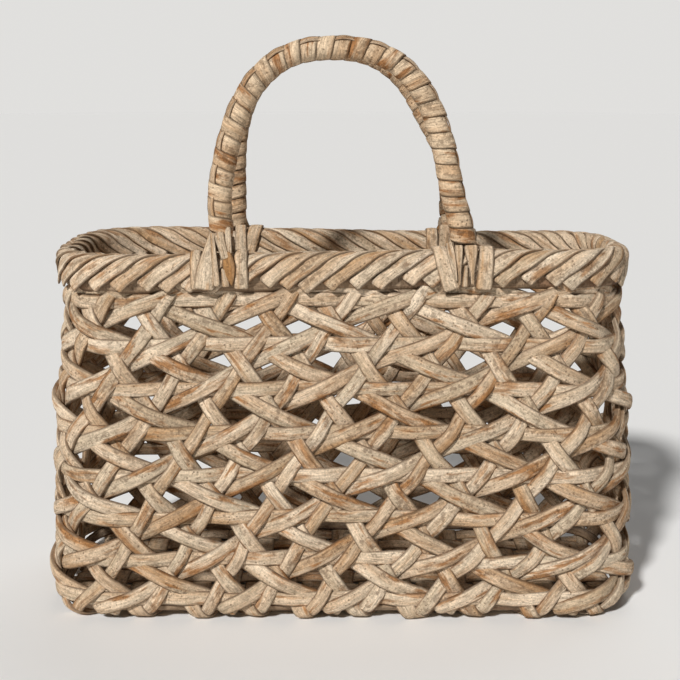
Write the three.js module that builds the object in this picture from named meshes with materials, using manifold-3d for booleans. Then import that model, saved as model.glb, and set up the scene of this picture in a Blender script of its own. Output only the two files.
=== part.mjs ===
// Walnut bark handbag basket: a tall, narrow openwork body woven from bark strips in five
// directions, a plaited rim, and two wrapped arch handles that tilt where their feet meet the rim.
// Millimetres, +Z up. X runs along the width, the front faces -Y, and the origin is on the floor
// under the middle of the base.

import * as THREE from 'three';
import { mergeVertices } from 'three/addons/utils/BufferGeometryUtils.js';
import Module from 'manifold-3d';

const wasm = await Module();
wasm.setup();

// Body
const BODY_WIDTH = 316; // over the outermost strips under the rim
const BODY_DEPTH = 114;
const BODY_FLARE = 9; // how much further out the wall stands at the floor, on every side
const RIM_TOP = 206; // height of the body from the floor
const CORNER_RADIUS = 40;
const CORNER_FLATS = 4; // flats that make up each rounded corner

// Bark strips of the wall
const STRIP_WIDTH = 7.4;
const INSERT_WIDTH = 8.3;
const STRIP_THICKNESS = 1.4;
const STRIP_TIP = 0.5; // blunt height left where a slanted strip is cut level
const SIDE_STRIPS = 24; // steep strips, counted round the wall in each direction
const HOOPS = 8;
const LATTICE_TURN = -0.4; // turn of the whole weave round the wall, in strip pitches
const FOLD_HEIGHT = 6.5; // where a side strip turns back up under the lowest hoop
const RUN_HEIGHT = 2.5; // where an inserted strip turns back down under the rim

// Base
const BASE_HOOP_HEIGHT = 4.6;
const MAT_STRIP_WIDTH = 11;
const MAT_LENGTHWISE_RUNS = 5;
const MAT_CROSSWISE_RUNS = 13;

// Rim
const RIM_HEIGHT = 22;
const RIM_CORE_HEIGHT = 15;
const PLAIT_THICKNESS = 2;

// Handles
const HANDLE_SPAN = 130; // between the middles of the two feet
const HANDLE_RISE = 97; // from the feet's pivot to the middle of the arch at its top
const HANDLE_LEAN = -4.5; // sideways set of the arch's top
const CORE_RADIUS = 4.7;
const FOOT_RADIUS = 6;
const FOOT_LENGTH = 13;
const WRAP_TURNS = 24;
const WRAP_THICKNESS = 1.4;
const WRAP_SHARE = 0.8; // share of each turn's length that the wrapping strip covers
const EDGE_STRIP_WIDTH = 5;
const EDGE_STRIP_THICKNESS = 1.2;
const LASHING_WIDTH = 30;
const LASHING_THICKNESS = 1.5;
const LASHING_DROP = 20; // how far a lashing hangs down each face of the rim

// Room left between neighbouring pieces
const CLEARANCE = 0.35;

// Worked out from the sizes above
const layerPitch = STRIP_THICKNESS + CLEARANCE;
const wallThickness = 4 * layerPitch + STRIP_THICKNESS;
const foldBottom = BASE_HOOP_HEIGHT + CLEARANCE;
const foldTop = foldBottom + FOLD_HEIGHT;
const firstHoop = foldTop + CLEARANCE + STRIP_WIDTH / 2;
const rimBottom = RIM_TOP - RIM_HEIGHT;
const rimCoreTop = RIM_TOP - PLAIT_THICKNESS - CLEARANCE;
const rimCoreBottom = rimCoreTop - RIM_CORE_HEIGHT;
const stripTop = rimCoreBottom - CLEARANCE;
const lastHoop = stripTop - RUN_HEIGHT - CLEARANCE - STRIP_WIDTH / 2;
const hoopPitch = (lastHoop - firstHoop) / (HOOPS - 1);
const lashingTop = RIM_TOP + CLEARANCE + LASHING_THICKNESS;
const pivotHeight = lashingTop + CLEARANCE + FOOT_RADIUS;
const handleSetback = BODY_DEPTH / 2 - wallThickness / 2;
const flareAt = (height) => BODY_FLARE * Math.max(0, 1 - height / stripTop);
const wrapRadius = CORE_RADIUS + CLEARANCE + 0.3; // its flat steps clear the core between corners
const edgeRadius = wrapRadius + WRAP_THICKNESS + CLEARANCE;

const bark = (color) => new THREE.MeshStandardMaterial({ color, roughness: 0.8, metalness: 0 });
const paleBark = bark(0xc3a27c);
const greyBark = bark(0xb09a7f);
const ruddyBark = bark(0xa87a52);
const darkBark = bark(0x8a6a4a);

// A closed surface with its vertices shared and its faces pointing out.
function closedSurface(geometry) {
  geometry.deleteAttribute('normal');
  geometry.deleteAttribute('uv');
  const merged = mergeVertices(geometry);
  const corner = (i) => new THREE.Vector3().fromBufferAttribute(merged.attributes.position, i);
  const index = Array.from(merged.index.array);
  const triangles = [];
  let volume = 0;
  for (let i = 0; i < index.length; i += 3) {
    const [a, b, c] = index.slice(i, i + 3);
    if (a === b || b === c || c === a) continue;
    triangles.push(a, b, c);
    volume += corner(a).dot(corner(b).cross(corner(c)));
  }
  merged.setIndex(volume < 0 ? triangles.reverse() : triangles);
  return merged;
}

// Surfaces turned into solids, to be joined or cut, and back again.
const solidOf = (surface) => new wasm.Manifold(new wasm.Mesh({
  numProp: 3,
  vertProperties: new Float32Array(surface.attributes.position.array),
  triVerts: new Uint32Array(surface.index.array),
}));

function surfaceOf(solid) {
  const mesh = solid.getMesh();
  const geometry = new THREE.BufferGeometry();
  geometry.setAttribute('position', new THREE.BufferAttribute(mesh.vertProperties, mesh.numProp));
  geometry.setIndex(new THREE.BufferAttribute(mesh.triVerts, 1));
  return geometry;
}

const union = (surfaces) => surfaces.map(solidOf).reduce((body, solid) => body.add(solid));
const joined = (surfaces) => surfaceOf(union(surfaces));

// A flat strip laid along stations: place() puts each of its four edges at every station.
function laidStrip(stations, place) {
  const steps = stations.length - 1;
  const geometry = new THREE.BoxGeometry(1, 1, 1, steps, 1, 1);
  const position = geometry.attributes.position;
  for (let i = 0; i < position.count; i++) {
    const station = stations[Math.round((position.getX(i) + 0.5) * steps)];
    position.setXYZ(i, ...place(station, position.getY(i) > 0, position.getZ(i) > 0));
  }
  return closedSurface(geometry);
}

// The wall's plan, counter-clockwise from the middle of the front: a rectangle whose rounded corners
// are made of flats, so that strips in different layers stay a constant distance apart.
function wallPlan() {
  const along = BODY_WIDTH / 2 - CORNER_RADIUS;
  const across = BODY_DEPTH / 2 - CORNER_RADIUS;
  const points = [];
  [[along, -across], [along, across], [-along, across], [-along, -across]].forEach(([x, y], corner) => {
    for (let flat = 0; flat <= CORNER_FLATS; flat++) {
      const angle = (corner - 1 + flat / CORNER_FLATS) * Math.PI / 2;
      points.push(new THREE.Vector2(x, y).addScaledVector(
        new THREE.Vector2(Math.cos(angle), Math.sin(angle)), CORNER_RADIUS));
    }
  });
  const outward = (a, b) => new THREE.Vector2(b.y - a.y, a.x - b.x).normalize();
  const creases = points.map((point, i) => {
    const before = outward(points.at(i - 1), point);
    const after = outward(point, points[(i + 1) % points.length]);
    const mitre = before.clone().add(after).divideScalar(1 + before.dot(after));
    return { point, mitre };
  });
  let distance = along;
  creases.forEach((crease, i) => {
    crease.distance = distance;
    distance += crease.point.distanceTo(points[(i + 1) % points.length]);
  });
  return { creases, length: distance - along };
}

const plan = wallPlan();
const stripPitch = plan.length / SIDE_STRIPS;

// The point a given distance round the wall and a given depth in from its outer face, which leans in
// towards the rim.
function onWall(distance, inset, height) {
  const { creases, length } = plan;
  const turned = distance - length * Math.floor((distance - creases[0].distance) / length);
  const last = creases.findLastIndex((crease) => crease.distance <= turned);
  const from = creases[last];
  const to = creases[(last + 1) % creases.length];
  const share = (turned - from.distance) / from.point.distanceTo(to.point);
  const mitre = from.mitre.clone().lerp(to.mitre, share);
  const point = from.point.clone().lerp(to.point, share).addScaledVector(mitre, flareAt(height) - inset);
  return [point.x, point.y, height];
}

// Distances of the wall's creases within a stretch of it.
function creasesBetween(start, end) {
  const found = [];
  for (let turn = Math.floor(start / plan.length) - 1; turn * plan.length < end; turn++) {
    found.push(...plan.creases.map((crease) => crease.distance + turn * plan.length));
  }
  return found.filter((distance) => distance > start && distance < end);
}

// The five layers of the wall, from the outside in: the inserted strips run between the others.
const layer = (order) => ({ outer: order * layerPitch, inner: order * layerPitch + STRIP_THICKNESS });
const layers = {
  rising: layer(0), insertRising: layer(1), hoops: layer(2), insertFalling: layer(3), falling: layer(4),
};

// A strip on the wall between two distances, with its lower and upper edges given by functions.
function wallStrip(breaks, lower, upper, { outer, inner }) {
  const start = Math.min(...breaks);
  const end = Math.max(...breaks);
  const clear = (crease) => breaks.every((distance) => Math.abs(distance - crease) > STRIP_TIP / 5);
  const stations = [...breaks, ...creasesBetween(start, end).filter(clear)].sort((a, b) => a - b);
  return laidStrip(stations, (distance, high, outside) =>
    onWall(distance, outside ? outer : inner, high ? upper(distance) : lower(distance)));
}

// A slanted strip cut level at its bottom and top. It crosses the lowest hoop at the given distance.
function slantedStrip(crossing, slope, width, bottom, top, depths) {
  const middle = (distance) => firstHoop + slope * (distance - crossing);
  const half = width / 2 * Math.hypot(1, slope);
  const reach = (height) => crossing + (height - firstHoop) / slope;
  const lower = (distance) => THREE.MathUtils.clamp(middle(distance) - half, bottom, top - STRIP_TIP);
  const upper = (distance) => THREE.MathUtils.clamp(middle(distance) + half, bottom + STRIP_TIP, top);
  const breaks = [bottom + STRIP_TIP - half, bottom + half, top - half, top - STRIP_TIP + half].map(reach);
  return wallStrip(breaks, lower, upper, depths);
}

// A level piece that carries a strip from the middle of one layer to the middle of another.
function levelTurn(start, end, bottom, top, from, to) {
  const half = STRIP_THICKNESS / 2;
  const depths = { outer: from.outer + half, inner: to.inner - half };
  return wallStrip([start, end], () => bottom, () => top, depths);
}

// A side strip comes down one way, turns under the lowest hoop and goes up the other way.
function sideStrip(order) {
  const slope = 2 * hoopPitch / stripPitch;
  const at = (pitches) => (order + pitches + LATTICE_TURN) * stripPitch;
  return joined([
    slantedStrip(at(0), slope, STRIP_WIDTH, foldBottom, stripTop, layers.rising),
    slantedStrip(at(-0.5), -slope, STRIP_WIDTH, foldBottom, stripTop, layers.falling),
    levelTurn(at(-0.35), at(-0.15), foldBottom + STRIP_TIP / 2, foldTop, layers.rising, layers.falling),
  ]);
}

// An inserted strip climbs halfway round the wall, turns under the rim and comes down the other way.
// Its turn passes over the highest hoop, between the legs of the inserted strips on either side.
function insertedStrip(order) {
  const slope = hoopPitch / (1.5 * stripPitch);
  const bottom = firstHoop - STRIP_WIDTH / 2;
  const rise = (stripTop - RUN_HEIGHT / 2 - firstHoop) / slope;
  const at = (pitches) => (2 * order + pitches + LATTICE_TURN) * stripPitch;
  const up = at(0.5);
  const down = at(SIDE_STRIPS);
  const { insertRising, insertFalling } = layers;
  const turnTop = stripTop - STRIP_TIP / 2;
  const legReach = (RUN_HEIGHT + INSERT_WIDTH * Math.hypot(1, slope)) / 2 / slope + CLEARANCE;
  const turnStart = Math.max(up + rise, down - 2 * stripPitch - rise + legReach);
  const turnEnd = Math.min(down - rise, up + 2 * stripPitch + rise - legReach);
  return joined([
    slantedStrip(up, slope, INSERT_WIDTH, bottom, stripTop, insertRising),
    slantedStrip(down, -slope, INSERT_WIDTH, bottom, stripTop, insertFalling),
    levelTurn(turnStart, turnEnd, stripTop - RUN_HEIGHT, turnTop, insertRising, insertFalling),
  ]);
}

// A closed band that follows the wall's plan. The profile's points are depth in from the wall's
// outer face under the rim, and height.
function planBand(profile) {
  const sides = plan.creases.length;
  const loop = [...profile, profile[0]].map(([inset, height]) => new THREE.Vector2(inset, height));
  const geometry = new THREE.LatheGeometry(loop, sides);
  const position = geometry.attributes.position;
  for (let i = 0; i < position.count; i++) {
    const { point, mitre } = plan.creases[Math.floor(i / loop.length) % sides];
    const { x: inset, y: height } = loop[i % loop.length];
    position.setXYZ(i, point.x - mitre.x * inset, point.y - mitre.y * inset, height);
  }
  return closedSurface(geometry);
}

// The profile of a band that leans with the wall.
const leaning = (outer, inner, bottom, top) => [
  [outer, bottom], [inner, bottom], [inner, top], [outer, top],
].map(([inset, height]) => [inset - flareAt(height), height]);

function hoop(order) {
  const middle = firstHoop + order * hoopPitch;
  const { outer, inner } = layers.hoops;
  return planBand(leaning(outer, inner, middle - STRIP_WIDTH / 2, middle + STRIP_WIDTH / 2));
}

// An upside-down channel that hugs the wall's head and hangs down both its faces. Its upper edges
// are bevelled by the thickness of the channel.
function channel(gap, thickness, bottom, top) {
  const near = -gap;
  const far = wallThickness + gap;
  return [
    [near - thickness, bottom], [near, bottom], [near, top - thickness], [far, top - thickness],
    [far, bottom], [far + thickness, bottom], [far + thickness, top - thickness], [far, top],
    [near, top], [near - thickness, top - thickness],
  ];
}

const plaitGap = CLEARANCE + flareAt(rimBottom);
const lashingGap = plaitGap + PLAIT_THICKNESS + CLEARANCE;

// How far the base mat reaches beyond the plan under the rim.
const matSpread = flareAt(layerPitch + STRIP_THICKNESS) - wallThickness - CLEARANCE;

// One long strip of the base mat, folded to and fro inside the base hoop, with its turns clear of the
// rounded corners. Its runs lie along X before the whole strip is turned about the upright axis.
function matStrip(runs, length, width, turn) {
  const step = (width - MAT_STRIP_WIDTH) / (runs - 1);
  const block = (x, y, sizeX, sizeY) => closedSurface(
    new THREE.BoxGeometry(sizeX, sizeY, STRIP_THICKNESS)
      .translate(x, y, STRIP_THICKNESS / 2).rotateZ(turn));
  const blocks = [];
  for (let run = 0; run < runs; run++) {
    const middle = run * step - (width - MAT_STRIP_WIDTH) / 2;
    blocks.push(block(0, middle, length, MAT_STRIP_WIDTH));
    const turnEnd = (run % 2 ? -1 : 1) * (length - MAT_STRIP_WIDTH - CORNER_RADIUS) / 2;
    if (run < runs - 1) blocks.push(block(turnEnd, middle + step / 2, MAT_STRIP_WIDTH, step));
  }
  return union(blocks);
}

// The floor inside the base hoop, as a plate that the mat's corners are cut to.
function floorPlate() {
  const outline = plan.creases.map(({ point, mitre }) => point.clone().addScaledVector(mitre, matSpread));
  const shape = new THREE.Shape(outline);
  const plate = new THREE.ExtrudeGeometry(shape, { depth: RIM_TOP, bevelEnabled: false });
  return solidOf(closedSurface(plate.translate(0, 0, -RIM_TOP / 2)));
}

// Half an ellipse standing on the two feet, its top set a little to one side.
class HandleArch extends THREE.Curve {
  getPoint(share, target = new THREE.Vector3()) {
    const angle = Math.PI * (1 - share);
    const lift = Math.sin(angle);
    return target.set(HANDLE_SPAN / 2 * Math.cos(angle) + HANDLE_LEAN * lift, 0, HANDLE_RISE * lift);
  }
}

const arch = new HandleArch();

// A point round the arch: radius and turn are measured from its middle line, zero turn is outwards,
// and shift slides the point along the arch.
function roundArch(share, turn, radius, shift) {
  const along = arch.getTangentAt(share);
  const outward = new THREE.Vector3(-along.z, 0, along.x);
  const point = arch.getPointAt(share).addScaledVector(along, shift);
  point.addScaledVector(outward, radius * Math.cos(turn));
  point.y += radius * Math.sin(turn);
  return point.toArray();
}

function handleCore() {
  const round = new THREE.Shape().absarc(0, 0, CORE_RADIUS, 0, 2 * Math.PI);
  const bar = new THREE.ExtrudeGeometry(round, { extrudePath: arch, steps: 28, curveSegments: 4 });
  const feet = [-1, 1].map((side) => new THREE.CylinderGeometry(FOOT_RADIUS, FOOT_RADIUS, FOOT_LENGTH, 16)
    .rotateZ(Math.PI / 2).translate(side * HANDLE_SPAN / 2, 0, 0));
  return joined([bar, ...feet].map(closedSurface));
}

// The wrapping strip is one helix from foot to foot.
function handleWrap() {
  const stepsPerTurn = 10;
  const steps = WRAP_TURNS * stepsPerTurn;
  const length = arch.getLength();
  const footRoom = FOOT_RADIUS + CLEARANCE;
  const width = WRAP_SHARE * (length - 2 * footRoom) / (WRAP_TURNS + WRAP_SHARE);
  const start = (footRoom + width / 2) / length;
  const stations = Array.from({ length: steps + 1 }, (_, step) => ({
    share: THREE.MathUtils.lerp(start, 1 - start, step / steps),
    turn: step / stepsPerTurn * 2 * Math.PI,
  }));
  const place = ({ share, turn }, ahead, outside) => roundArch(
    share, turn, wrapRadius + (outside ? WRAP_THICKNESS : 0), (ahead ? 1 : -1) * width / 2);
  let leastGap = Infinity;
  for (let step = 0; step + stepsPerTurn <= steps; step++) {
    for (const outside of [false, true]) {
      const edge = new THREE.Vector3(...place(stations[step], true, outside));
      const next = new THREE.Vector3(...place(stations[step + stepsPerTurn], false, outside));
      leastGap = Math.min(leastGap, edge.distanceTo(next));
    }
  }
  console.log(`handle wrap: least gap between turns ${leastGap.toFixed(2)} mm`);
  return laidStrip(stations, place);
}

// A narrow strip along the outer side of the arch, over the wrapping.
function handleEdgeStrip() {
  const steps = 28;
  const start = 2 * FOOT_RADIUS / arch.getLength();
  const shareAt = (step) => THREE.MathUtils.lerp(start, 1 - start, step / steps);
  const stations = Array.from({ length: steps + 1 }, (_, step) => shareAt(step));
  return laidStrip(stations, (share, across, outside) => {
    const [x, , z] = roundArch(share, 0, edgeRadius + (outside ? EDGE_STRIP_THICKNESS : 0), 0);
    return [x, (across ? 1 : -1) * EDGE_STRIP_WIDTH / 2, z];
  });
}

// Strips bound over the rim where a foot stands, as one saddle.
function lashing() {
  const outline = channel(lashingGap, LASHING_THICKNESS, RIM_TOP - LASHING_DROP, lashingTop);
  const shape = new THREE.Shape(outline.map(([inset, height]) => new THREE.Vector2(inset, height)));
  const geometry = new THREE.ExtrudeGeometry(shape, { depth: LASHING_WIDTH, bevelEnabled: false });
  geometry.translate(-wallThickness / 2, 0, -LASHING_WIDTH / 2);
  const [x, y, z] = [0, 1, 2].map((axis) => new THREE.Vector3().setComponent(axis, 1));
  return closedSurface(geometry.applyMatrix4(new THREE.Matrix4().makeBasis(y, z, x)));
}

const basket = new THREE.Group();

function addPiece(name, geometry, material, parent = basket) {
  const mesh = new THREE.Mesh(geometry, material);
  mesh.name = name;
  parent.add(mesh);
  return mesh;
}

const numbered = (name, order) => `${name}_${String(order + 1).padStart(2, '0')}`;

for (let i = 0; i < HOOPS; i++) addPiece(numbered('hoop', i), hoop(i), paleBark);
for (let i = 0; i < SIDE_STRIPS; i++) {
  addPiece(numbered('side_strip', i), sideStrip(i), i % 3 ? paleBark : greyBark);
}
for (let i = 0; i < SIDE_STRIPS / 2; i++) {
  addPiece(numbered('inserted_strip', i), insertedStrip(i), greyBark);
}

addPiece('base_hoop', planBand(leaning(0, wallThickness, 0, BASE_HOOP_HEIGHT)), darkBark);
const matLength = BODY_WIDTH + 2 * matSpread;
const matDepth = BODY_DEPTH + 2 * matSpread;
const lengthwise = matStrip(MAT_LENGTHWISE_RUNS, matLength, matDepth, 0);
addPiece('base_mat_lengthwise', surfaceOf(lengthwise.intersect(floorPlate())), paleBark);
const crosswise = matStrip(MAT_CROSSWISE_RUNS, matDepth, matLength, Math.PI / 2);
const crosswiseCut = surfaceOf(crosswise.intersect(floorPlate()));
addPiece('base_mat_crosswise', crosswiseCut, ruddyBark).position.z = layerPitch;

addPiece('rim_core', planBand(leaning(0, wallThickness, rimCoreBottom, rimCoreTop)), darkBark);
addPiece('rim_plait', planBand(channel(plaitGap, PLAIT_THICKNESS, rimBottom, RIM_TOP)), paleBark);

for (const [place, side] of [['front', -1], ['back', 1]]) {
  for (const [end, direction] of [['left', -1], ['right', 1]]) {
    const binding = addPiece(`${place}_${end}_lashing`, lashing(), ruddyBark);
    binding.position.set(direction * HANDLE_SPAN / 2, side * handleSetback, 0);
  }
  const handle = new THREE.Group();
  handle.position.set(0, side * handleSetback, pivotHeight);
  basket.add(handle);
  addPiece(`${place}_handle_core`, handleCore(), darkBark, handle);
  addPiece(`${place}_handle_wrap`, handleWrap(), paleBark, handle);
  addPiece(`${place}_handle_edge_strip`, handleEdgeStrip(), greyBark, handle);
}

export default basket;
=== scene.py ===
import math
import random

import bmesh
import bpy
import numpy as np
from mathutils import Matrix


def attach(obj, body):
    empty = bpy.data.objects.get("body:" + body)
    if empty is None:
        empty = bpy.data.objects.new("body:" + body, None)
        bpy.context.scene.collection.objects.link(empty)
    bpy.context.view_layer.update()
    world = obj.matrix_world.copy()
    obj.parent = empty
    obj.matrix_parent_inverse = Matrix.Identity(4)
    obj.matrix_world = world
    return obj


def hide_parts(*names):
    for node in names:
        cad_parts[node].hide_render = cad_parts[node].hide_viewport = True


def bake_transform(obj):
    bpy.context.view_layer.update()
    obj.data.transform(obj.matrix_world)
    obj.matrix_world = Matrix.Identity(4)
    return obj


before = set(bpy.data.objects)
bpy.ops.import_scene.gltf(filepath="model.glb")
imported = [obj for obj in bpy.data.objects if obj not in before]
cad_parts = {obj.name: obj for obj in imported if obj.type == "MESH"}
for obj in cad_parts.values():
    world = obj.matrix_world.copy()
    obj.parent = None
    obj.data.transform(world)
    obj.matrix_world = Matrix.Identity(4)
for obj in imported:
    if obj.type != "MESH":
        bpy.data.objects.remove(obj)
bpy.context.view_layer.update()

# Base mat: flat strips of walnut bark woven over and under each other, along the basket and across
# it. Their ends are held between the wall's strips and the hoop round the base.

STRIP_NUMBERS, STAINED_NUMBER = 40, 100


def bark_grain():
    """Node group with the look of peeled bark. It reads each strip's own attribute: metres along
    the strip, place across it from -1 to 1, and the strip's number, past 100 on a stained strip."""
    group = bpy.data.node_groups.new("bark grain", "ShaderNodeTree")
    for name in ("Pale", "Tan", "Grey", "Stain", "Marks_and_edge_shade"):
        group.interface.new_socket(name, in_out="INPUT", socket_type="NodeSocketColor")
    group.interface.new_socket("Stain share", in_out="INPUT", socket_type="NodeSocketFloat")
    group.interface.new_socket("Color", in_out="OUTPUT", socket_type="NodeSocketColor")
    group.interface.new_socket("Roughness", in_out="OUTPUT", socket_type="NodeSocketFloat")
    group.interface.new_socket("Height", in_out="OUTPUT", socket_type="NodeSocketFloat")

    def node(kind, inputs, output=0, **settings):
        made = group.nodes.new(kind)
        for name, value in settings.items():
            setattr(made, name, value)
        for socket, value in inputs.items():
            if isinstance(value, bpy.types.NodeSocket):
                group.links.new(value, made.inputs[socket])
            else:
                made.inputs[socket].default_value = value
        return made.outputs[output]

    def calculate(operation, first, second, third=0.0):
        return node("ShaderNodeMath", {0: first, 1: second, 2: third}, operation=operation,
                    use_clamp=True)

    def ramp(value, low, high):
        return node("ShaderNodeMapRange", {0: value, 1: low, 2: high},
                    interpolation_type="SMOOTHSTEP")

    def blend(factor, first, second, blend_type="MIX"):
        return node("ShaderNodeMix", {0: factor, 6: first, 7: second}, output=2,
                    data_type="RGBA", blend_type=blend_type)

    strip = node("ShaderNodeAttribute", {}, output="Vector", attribute_name="strip")

    def stretched(along, across, number):
        return node("ShaderNodeVectorMath", {0: strip, 1: (along, across, number)},
                    operation="MULTIPLY")

    def noise(along, across, number, detail):
        return node("ShaderNodeTexNoise", {"Vector": stretched(along, across, number), "Scale": 1,
                                           "Detail": detail, "Roughness": 0.62})

    given = group.nodes.new("NodeGroupInput").outputs
    place = group.nodes.new("ShaderNodeSeparateXYZ")
    group.links.new(strip, place.inputs[0])
    number = place.outputs[2]
    tone = node("ShaderNodeTexWhiteNoise", {"W": number}, noise_dimensions="1D")
    stained = calculate("GREATER_THAN", number, STAINED_NUMBER)
    fibre = noise(along=190, across=2.7, number=3.1, detail=5)
    thread = noise(along=50, across=6.0, number=4.3, detail=3)
    speck = noise(along=900, across=3.6, number=12.1, detail=2)
    aged = ramp(noise(along=15, across=0.5, number=5.7, detail=3), low=0.36, high=0.66)
    weathered = ramp(noise(along=11, across=0.4, number=6.9, detail=3), low=0.46, high=0.62)
    blotch = ramp(noise(along=38, across=0.8, number=7.3, detail=4), low=0.51, high=0.65)
    flaky = ramp(noise(along=19, across=0.6, number=11.9, detail=2), low=0.44, high=0.60)
    flake = ramp(noise(along=330, across=1.3, number=8.3, detail=4), low=0.50, high=0.60)
    flake = calculate("MULTIPLY", flake, flaky)
    dotted = ramp(noise(along=40, across=0.9, number=2.9, detail=2), low=0.44, high=0.56)
    spots = stretched(along=430, across=1.75, number=13.7)
    dots = node("ShaderNodeTexVoronoi", {"Vector": spots, "Scale": 1})
    dots = calculate("MULTIPLY", ramp(dots, low=0.30, high=0.14), dotted)
    crack = noise(along=30, across=2.7, number=9.1, detail=2)
    crack = calculate("COMPARE", crack, 0.5, 0.009)
    # Painted shade: the edge mask darkens both edges of every strip, where the strips meet and tuck
    # under each other.
    edge = ramp(calculate("ABSOLUTE", place.outputs[1], 0.0), low=0.72, high=0.98)

    tan = calculate("MULTIPLY_ADD", tone, 0.60, -0.14)
    tan = calculate("MULTIPLY_ADD", aged, 0.62, tan)
    color = blend(tan, given["Pale"], given["Tan"])
    color = blend(calculate("MULTIPLY", weathered, 0.6), color, given["Grey"])
    color = blend(calculate("MULTIPLY", blotch, given["Stain share"]), color, given["Stain"])
    color = blend(calculate("MULTIPLY", stained, 0.75), color, given["Stain"])
    shades = ((fibre, 0.30, 0.70, 0.70, 1.17), (thread, 0.35, 0.65, 0.89, 1.07),
              (speck, 0.32, 0.68, 0.78, 1.18))
    for pattern, low, high, darkest, lightest in shades:
        shade = node("ShaderNodeMapRange", {0: pattern, 1: low, 2: high, 3: darkest, 4: lightest})
        color = blend(1.0, color, shade, blend_type="MULTIPLY")
    # This darkening holds the real marks (flakes, cracks and dots) and also the painted shade along
    # the strips' edges.
    dark = calculate("MULTIPLY", edge, 0.70)
    for mark, strength in ((flake, 0.52), (crack, 0.42), (dots, 0.60)):
        dark = calculate("MAXIMUM", dark, calculate("MULTIPLY", mark, strength))
    color = blend(dark, color, given["Marks_and_edge_shade"])
    dullest, smoothest = 0.92, 0.70
    rough = node("ShaderNodeMapRange", {0: fibre, 1: 0.3, 2: 0.7, 3: dullest, 4: smoothest})
    height = calculate("MULTIPLY_ADD", fibre, 0.40, calculate("MULTIPLY", thread, 0.30))
    height = calculate("MULTIPLY_ADD", speck, 0.16, height)
    height = calculate("SUBTRACT", height, calculate("MULTIPLY", dark, 0.35))
    result = group.nodes.new("NodeGroupOutput")
    for name, value in (("Color", color), ("Roughness", rough), ("Height", height)):
        group.links.new(value, result.inputs[name])
    return group


grain = bark_grain()
finishes = {}


def bark_finish(name, pale, tan, grey, stain, stain_share):
    """Makes the material of one shade of bark and keeps it under its name in finishes."""
    finish = bpy.data.materials.new(name)
    finish.use_nodes = True
    nodes, links = finish.node_tree.nodes, finish.node_tree.links
    shader = nodes["Principled BSDF"]
    shader.inputs["Specular IOR Level"].default_value = 0.25
    look = nodes.new("ShaderNodeGroup")
    look.node_tree = grain
    # The darkest colour serves the real flakes, cracks and dots, and also the painted shade along
    # every strip's edges.
    marks_and_edge_shade_color = (0.075, 0.036, 0.014)
    colors = {"Pale": pale, "Tan": tan, "Grey": grey, "Stain": stain, "Marks_and_edge_shade": marks_and_edge_shade_color}
    for socket, color in colors.items():
        look.inputs[socket].default_value = (*color, 1)
    look.inputs["Stain share"].default_value = stain_share
    bump = nodes.new("ShaderNodeBump")
    bump.inputs["Strength"].default_value = 0.8
    bump.inputs["Distance"].default_value = 0.0011
    links.new(look.outputs["Color"], shader.inputs["Base Color"])
    links.new(look.outputs["Roughness"], shader.inputs["Roughness"])
    links.new(look.outputs["Height"], bump.inputs["Height"])
    links.new(bump.outputs["Normal"], shader.inputs["Normal"])
    finishes[name] = finish


bark_finish("pale_bark", pale=(0.86, 0.695, 0.51), tan=(0.50, 0.305, 0.155),
            grey=(0.62, 0.50, 0.35), stain=(0.38, 0.175, 0.06), stain_share=0.75)
bark_finish("ruddy_bark", pale=(0.85, 0.68, 0.49), tan=(0.50, 0.305, 0.155),
            grey=(0.61, 0.485, 0.34), stain=(0.42, 0.195, 0.055), stain_share=0.6)

chance = random.Random(7)
STRIP_SIDES = 10
EDGE_SQUARENESS, FACE_SQUARENESS = 0.86, 0.80
END_ROUNDING, END_BLUNTNESS, END_WIDTH = 0.0012, 0.35, 0.62


def smooth(share):
    share = np.clip(share, 0, 1)
    return share * share * (3 - 2 * share)


def wander(distance, reach, length):
    """Slow hand-made drift along a strip, up to about reach to either side, from two waves."""
    drift = np.zeros_like(distance)
    for share in (0.6, 0.4):
        wave = length * chance.uniform(0.6, 1.5) * share
        drift += share * np.sin(distance * math.tau / wave + chance.uniform(0, math.tau))
    return reach * drift


def new_strips():
    bm = bmesh.new()
    bm.verts.layers.float_vector.new("strip")
    return bm


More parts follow.
